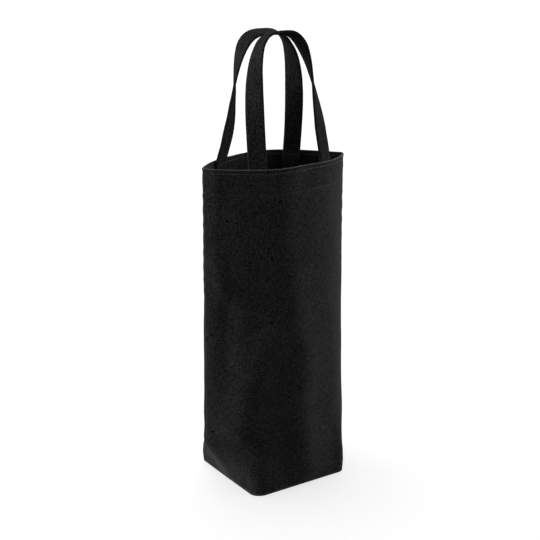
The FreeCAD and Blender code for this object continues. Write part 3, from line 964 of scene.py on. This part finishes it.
def cotton_material(name, dark, light, pitches, sheen, gloss, weave_depth):
    """Black cotton cloth with its weave, uneven yarn, dark neps, painted highlights and rubbed edges, and a
    soft fuzz.
    """
    material = bpy.data.materials.new(name)
    material.use_nodes = True
    tree = material.node_tree
    shader = tree.nodes["Principled BSDF"]
    coordinates = add_node(tree, "ShaderNodeTexCoord")
    weave = add_node(tree, "ShaderNodeGroup", node_tree=weave_nodes)
    weave.inputs["Across"].default_value, weave.inputs["Along"].default_value = pitches
    slub = add_node(tree, "ShaderNodeGroup", node_tree=slub_nodes)
    for group in (weave, slub):
        tree.links.new(coordinates.outputs["UV"], group.inputs["Cloth Map"])
    tree.links.new(coordinates.outputs["Object"], slub.inputs["Place"])
    yarn_tone = slub.outputs["Tone"]
    tone = add_node(tree, "ShaderNodeValToRGB")
    for element, position, colour in zip(tone.color_ramp.elements, TONE_SPAN, (dark, light)):
        element.position = position
        element.color = colour
    tree.links.new(yarn_tone, tone.inputs["Fac"])
    specks = add_node(tree, "ShaderNodeMix", data_type="RGBA")
    specks.inputs["B"].default_value = scaled_colour(dark, NEP_TONE)
    tree.links.new(slub.outputs["Speck"], specks.inputs["Factor"])
    tree.links.new(tone.outputs["Color"], specks.inputs["A"])
    # This mask lightens the cloth: painted highlight on the rim's top and at the side seams' feet, and wear
    # at the base's edge
    highlight_and_wear_amount = add_node(tree, "ShaderNodeAttribute", attribute_name="painted_highlight_and_wear")
    wear_and_highlight = maths(tree, "MULTIPLY", highlight_and_wear_amount.outputs["Fac"], maths(tree, "MULTIPLY", yarn_tone, HIGHLIGHT_AND_WEAR_BY_TONE))
    faded_and_highlighted = add_node(tree, "ShaderNodeMix", data_type="RGBA")
    faded_and_highlighted.inputs["B"].default_value = scaled_colour(light, HIGHLIGHT_AND_WEAR_TONE)
    tree.links.new(wear_and_highlight, faded_and_highlighted.inputs["Factor"])
    tree.links.new(specks.outputs["Result"], faded_and_highlighted.inputs["A"])
    tree.links.new(faded_and_highlighted.outputs["Result"], shader.inputs["Base Color"])
    tree.links.new(maths(tree, "MULTIPLY_ADD", yarn_tone, *CLOTH_ROUGHNESS), shader.inputs["Roughness"])
    height = maths(tree, "ADD", weave.outputs["Height"], maths(tree, "MULTIPLY", yarn_tone, TONE_RELIEF))
    bump = add_node(tree, "ShaderNodeBump", {"Strength": 0.5, "Distance": weave_depth})
    tree.links.new(height, bump.inputs["Height"])
    tree.links.new(bump.outputs["Normal"], shader.inputs["Normal"])
    shader.inputs["Specular IOR Level"].default_value = gloss
    shader.inputs["Sheen Weight"].default_value = sheen
    shader.inputs["Sheen Roughness"].default_value = SHEEN_ROUGHNESS
    return material


def thread_material(name, tones):
    """Black sewing thread, twisted from fine strands, with a slight gloss."""
    material = bpy.data.materials.new(name)
    material.use_nodes = True
    tree = material.node_tree
    shader = tree.nodes["Principled BSDF"]
    coordinates = add_node(tree, "ShaderNodeTexCoord")
    strands = add_node(
        tree, "ShaderNodeTexWave", {"Scale": 900.0, "Distortion": 2.0, "Detail": 1.0},
        bands_direction="DIAGONAL",
    )
    tree.links.new(coordinates.outputs["Object"], strands.inputs["Vector"])
    strand = strands.outputs["Fac"]
    tone = add_node(tree, "ShaderNodeValToRGB")
    for element, grey in zip(tone.color_ramp.elements, tones):
        element.color = (grey, grey, grey * THREAD_BLUE, 1)
    tree.links.new(strand, tone.inputs["Fac"])
    tree.links.new(tone.outputs["Color"], shader.inputs["Base Color"])
    tree.links.new(maths(tree, "MULTIPLY_ADD", strand, *THREAD_ROUGHNESS), shader.inputs["Roughness"])
    bump = add_node(tree, "ShaderNodeBump", {"Strength": 0.4, "Distance": 0.0001})
    tree.links.new(strand, bump.inputs["Height"])
    tree.links.new(bump.outputs["Normal"], shader.inputs["Normal"])
    shader.inputs["Specular IOR Level"].default_value = THREAD_GLOSS
    return material


# Floor, light and camera

def lay_floor():
    """A pale floor that stays white to the camera where it is fully lit, and keeps the bag's shadow."""
    bm = bmesh.new()
    bmesh.ops.create_grid(bm, x_segments=1, y_segments=1, size=FLOOR_REACH)
    mesh = bpy.data.meshes.new("floor")
    bm.to_mesh(mesh)
    bm.free()
    floor = bpy.data.objects.new("floor", mesh)
    bpy.context.scene.collection.objects.link(floor)
    material = bpy.data.materials.new("pale_floor")
    material.use_nodes = True
    tree = material.node_tree
    shader = tree.nodes["Principled BSDF"]
    shader.inputs["Base Color"].default_value = FLOOR_COLOUR
    shader.inputs["Roughness"].default_value = FLOOR_ROUGHNESS
    shader.inputs["Specular IOR Level"].default_value = 0
    shader.inputs["Emission Color"].default_value = WHITE
    rays = add_node(tree, "ShaderNodeLightPath")
    glow = maths(tree, "MULTIPLY", rays.outputs["Is Camera Ray"], FLOOR_GLOW)
    tree.links.new(glow, shader.inputs["Emission Strength"])
    mesh.materials.append(material)
    return floor


def light_room(floor):
    """A white room with soft lamps at the left and right, in front and above.

    The left and right lamps leave out the floor, so that the bag has one soft shadow there.
    """
    world = bpy.data.worlds.new("white_room")
    bpy.context.scene.world = world
    world.use_nodes = True
    tree = world.node_tree
    sky = tree.nodes["Background"]
    sky.inputs["Color"].default_value = WHITE
    rays = add_node(tree, "ShaderNodeLightPath")
    seen = maths(tree, "MAXIMUM", rays.outputs["Is Camera Ray"], rays.outputs["Is Glossy Ray"])
    seen = maths(tree, "MAXIMUM", seen, rays.outputs["Is Transmission Ray"])
    strength = maths(tree, "MULTIPLY_ADD", seen, 1 - ROOM_LIGHT, ROOM_LIGHT)
    tree.links.new(strength, sky.inputs["Strength"])
    unlit = bpy.data.collections.new("floor_without_side_light")
    unlit.objects.link(floor)
    unlit.collection_objects[0].light_linking.link_state = "EXCLUDE"
    for name, direction, power, spread, lights_floor in LAMPS:
        lamp = bpy.data.lights.new(name, "SUN")
        lamp.angle = spread
        lamp.energy = power
        holder = bpy.data.objects.new(name, lamp)
        holder.location = direction
        holder.rotation_euler = Vector(direction).to_track_quat("Z", "Y").to_euler()
        bpy.context.scene.collection.objects.link(holder)
        if not lights_floor:
            holder.light_linking.receiver_collection = unlit


def aim_camera():
    """The camera of the photograph, from the left of the front panel and a little above."""
    azimuth, elevation = math.radians(CAMERA_AZIMUTH), math.radians(CAMERA_ELEVATION)
    back = Vector((
        math.sin(azimuth) * math.cos(elevation),
        -math.cos(azimuth) * math.cos(elevation),
        math.sin(elevation),
    ))
    right = Vector((math.cos(azimuth), math.sin(azimuth), 0))
    aim = right * (CAMERA_AIM_RIGHT * MM) + UP * (CAMERA_AIM_HEIGHT * MM)
    lens = bpy.data.cameras.new("camera")
    lens.sensor_width = CAMERA_SENSOR
    lens.lens = CAMERA_LENS
    camera = bpy.data.objects.new("camera", lens)
    camera.location = aim + back * (CAMERA_DISTANCE * MM)
    camera.rotation_euler = back.to_track_quat("Z", "Y").to_euler()
    bpy.context.scene.collection.objects.link(camera)
    bpy.context.scene.camera = camera


canvas = cotton_material("black_canvas", BLACK_DYE, FADED_DYE, **CANVAS_LOOK)
webbing = cotton_material("black_strap", BLACK_DYE, STRAP_DYE, **STRAP_LOOK)
threads = {
    "rim": thread_material("lighter_rim_thread", RIM_THREAD),
    "hem": thread_material("black_thread", HEM_THREAD),
}

for side in SIDES:
    sew_panel(side, canvas)
    sew_allowances(side, canvas)
    sew_strap(side, webbing)
    sew_rows(side, threads)
sew_overlocks(threads["hem"])

light_room(lay_floor())
aim_camera()
bpy.context.scene.view_settings.view_transform = "Standard"
